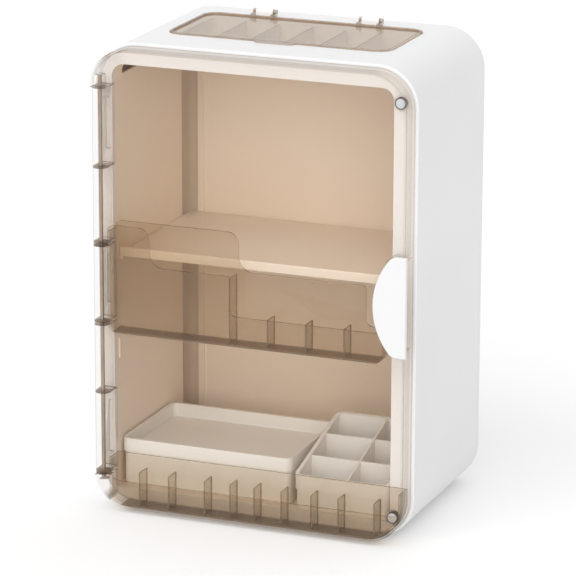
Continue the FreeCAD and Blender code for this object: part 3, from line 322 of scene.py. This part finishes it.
# tinted clear mouldings
doorLook = {"film": (0.97, 0.945, 0.915, 1), "rim": (0.22, 0.15, 0.1, 1), "rimPower": 6.0,
            "tone": (0.2, 0.125, 0.075, 1), "shade": (0.17, 0.105, 0.06, 1), "scale": 5.0, "body": 0.7,
            "edge": {"Face": 0.008, "Edge": 0.95, "Axis": (0, 0, 1), "Low": 0.6, "High": 0.9, "Round": 0.35},
            "edgeRough": 0.3, "rough": 0.04, "ior": 1.45, "barrelReach": 0.0173}
barrelEdge = dict(doorLook["edge"], Limit=boxOf("door_pan")[0][0] + doorLook["barrelReach"])
dress(clearFinish("doorTint", dict(doorLook, edge=barrelEdge)), "door_pan", "hinge_bracket_upper",
      "hinge_bracket_middle", "hinge_bracket_lower")
binLook = {"film": (0.77, 0.68, 0.55, 1), "rim": (0.35, 0.26, 0.18, 1), "rimPower": 4.0,
           "tone": (0.2, 0.135, 0.085, 1), "shade": (0.17, 0.115, 0.07, 1), "scale": 7.0, "body": 0.7,
           "edge": {"Face": 0.015, "Edge": 0.95, "Axis": (0, 0, 1), "Low": 0.6, "High": 0.9},
           "edgeRough": 0.3, "rough": 0.05, "ior": 1.45, "line": 0.0014,
           "bins": {"middle_bin": ("middleBinTint", 0.009), "lower_bin": ("lowerBinTint", 0.0133)}}
for binName, (tintName, floorRise) in binLook["bins"].items():
    lowest = boxOf(binName)[0][2]  # dark cut edges above the floor, a dark line at its underside
    binEdge = dict(binLook["edge"], Over=lowest + floorRise, Under=lowest + binLook["line"])
    dress(clearFinish(tintName, dict(binLook, edge=binEdge)), binName)
dividerLook = {"film": (0.82, 0.75, 0.66, 1), "rim": (0.5, 0.4, 0.3, 1), "rimPower": 5.0,
               "tone": (0.2, 0.135, 0.085, 1), "shade": (0.17, 0.115, 0.07, 1), "scale": 7.0, "body": 0.7,
               "edge": {"Face": 0.015, "Edge": 0.9, "Axis": (1, 0, 0), "Low": 0.9, "High": 0.5},
               "edgeRough": 0.3, "rough": 0.05, "ior": 1.45}
dress(clearFinish("dividerTint", dividerLook), "middle_bin_dividers", "lower_bin_dividers")
lidLook = {"film": (0.985, 0.925, 0.86, 1), "rim": (0.4, 0.3, 0.22, 1), "rimPower": 6.0,
           "tone": (0.4, 0.31, 0.24, 1), "shade": (0.37, 0.285, 0.22, 1), "scale": 7.0, "body": 0.6,
           "edge": {"Face": 0.02, "Edge": 0.8, "Axis": (0, 0, 1), "Low": 0.9, "High": 0.5},
           "edgeRough": 0.3, "rough": 0.06, "ior": 1.4}
dress(clearFinish("lidTint", lidLook), "top_lid")

# pins, screws, magnets and feet
steelLook = {"tone": (0.5, 0.49, 0.48, 1), "shade": (0.42, 0.41, 0.4, 1), "scale": 40.0, "rough": 0.28,
             "metal": 1.0, "skin": 2000.0, "depth": 0.05}
steel = solidFinish("drawnSteel", steelLook)
dress(steel, "lid_hinge_pins", "liner_screws", "handle_screws", "strike_discs")
pinLook = {"tone": (0.42, 0.34, 0.27, 1), "shade": (0.36, 0.29, 0.23, 1), "scale": 40.0, "rough": 0.35,
           "metal": 0.8, "skin": 2000.0, "depth": 0.05}
dress(solidFinish("warmPin", pinLook), "hinge_pin")
# magnet discs, with a ring of painted shade at their edge
magnetLook = {"tone": (0.66, 0.67, 0.68, 1), "shade": (0.58, 0.59, 0.6, 1), "scale": 60.0, "rough": 0.35,
              "metal": 0.6, "ring": (0.1, 0.08, 0.07, 1), "discRadius": 0.006, "ringWidth": 0.0011,
              "skin": 2000.0, "depth": 0.05}
discRadius = magnetLook["discRadius"]
magnetLow, magnetHigh = boxOf("door_magnets")  # the upper disc lies further right
magnetPlaces = {"upper": (magnetHigh[0] - discRadius, 0, magnetHigh[2] - discRadius),
                "lower": (magnetLow[0] + discRadius, 0, magnetLow[2] + discRadius),
                "radius": discRadius - magnetLook["ringWidth"]}
dress(solidFinish("magnetNickel", dict(magnetLook, **magnetPlaces)), "door_magnets")
footLook = {"tone": (0.6, 0.6, 0.6, 1), "shade": (0.55, 0.55, 0.55, 1), "scale": 30.0, "rough": 0.8,
            "skin": 1500.0, "depth": 0.1}
dress(solidFinish("footRubber", footLook), "foot_pads")
print("finishes on", len(nodes), "nodes")


stageLook = {"floorSize": 40.0, "floor": (0.93, 0.93, 0.93, 1), "glow": 0.14, "world": 0.45,
             "clearLayers": 32}


def seenRays(tree):  # 1 for what the camera sees, straight or in gloss and glass
    path = tree.nodes.new("ShaderNodeLightPath")
    mirrored = addMath(tree, "MAXIMUM", path.outputs["Is Glossy Ray"], path.outputs["Is Transmission Ray"])
    return addMath(tree, "MAXIMUM", path.outputs["Is Camera Ray"], mirrored)


def buildFloor(look):
    bpy.ops.object.select_all(action="DESELECT")
    bpy.ops.mesh.primitive_plane_add(size=look["floorSize"], location=(0, 0, 0))
    floor = bpy.context.object
    floor.name = "tableTop"
    material, tree, out = startMaterial("paleTable")
    matte = tree.nodes.new("ShaderNodeBsdfDiffuse")
    matte.inputs["Color"].default_value = look["floor"]
    glow = tree.nodes.new("ShaderNodeEmission")
    tree.links.new(addMath(tree, "MULTIPLY", seenRays(tree), look["glow"]), glow.inputs["Strength"])
    both = tree.nodes.new("ShaderNodeAddShader")
    tree.links.new(matte.outputs[0], both.inputs[0])
    tree.links.new(glow.outputs[0], both.inputs[1])
    tree.links.new(both.outputs[0], out.inputs["Surface"])
    floor.data.materials.append(material)


def buildWorld(look):  # even light, plain white where the camera sees it
    world = bpy.data.worlds.new("studioAir")
    bpy.context.scene.world = world
    world.use_nodes = True
    tree = world.node_tree
    sky = tree.nodes["Background"]
    sky.inputs["Color"].default_value = (1, 1, 1, 1)
    level = addMath(tree, "MULTIPLY_ADD", seenRays(tree), 1.0 - look["world"], look["world"])
    tree.links.new(level, sky.inputs["Strength"])


lampLook = {
    "keyLamp": {"from": (-0.7, -1.2, 1.2), "spread": 50, "strength": 0.7},
    "frontLamp": {"from": (0.35, -1.0, 0.27), "spread": 40, "strength": 1.0},
    "topLamp": {"from": (0.1, -0.2, 2.0), "spread": 100, "strength": 0.95},
}


def buildLamps(look):  # wide soft suns, so that the table is lit evenly
    for name, lamp in look.items():
        data = bpy.data.lights.new(name, "SUN")
        data.angle = math.radians(lamp["spread"])
        data.energy = lamp["strength"]
        holder = bpy.data.objects.new(name, data)
        bpy.context.collection.objects.link(holder)
        holder.location = lamp["from"]
        x, y, z = lamp["from"]
        holder.rotation_euler = (math.atan2(math.hypot(x, y), z), 0, math.atan2(x, -y))


cameraLook = {"at": (1.36818, -3.44169, 1.28448), "angles": (74.0149, -0.1682, 21.7272), "lens": 235.499,
              "sensor": 36.0, "farEnd": 100.0}


def buildCamera(look):
    data = bpy.data.cameras.new("photoCamera")
    data.lens = look["lens"]
    data.sensor_width = look["sensor"]
    data.clip_end = look["farEnd"]
    camera = bpy.data.objects.new("photoCamera", data)
    bpy.context.collection.objects.link(camera)
    camera.location = look["at"]
    camera.rotation_euler = [math.radians(angle) for angle in look["angles"]]
    bpy.context.scene.camera = camera


buildFloor(stageLook)
buildWorld(stageLook)
buildLamps(lampLook)
buildCamera(cameraLook)
scene = bpy.context.scene
scene.view_settings.view_transform = "Standard"
scene.cycles.transparent_max_bounces = stageLook["clearLayers"]
print("stage, lamps and camera set")
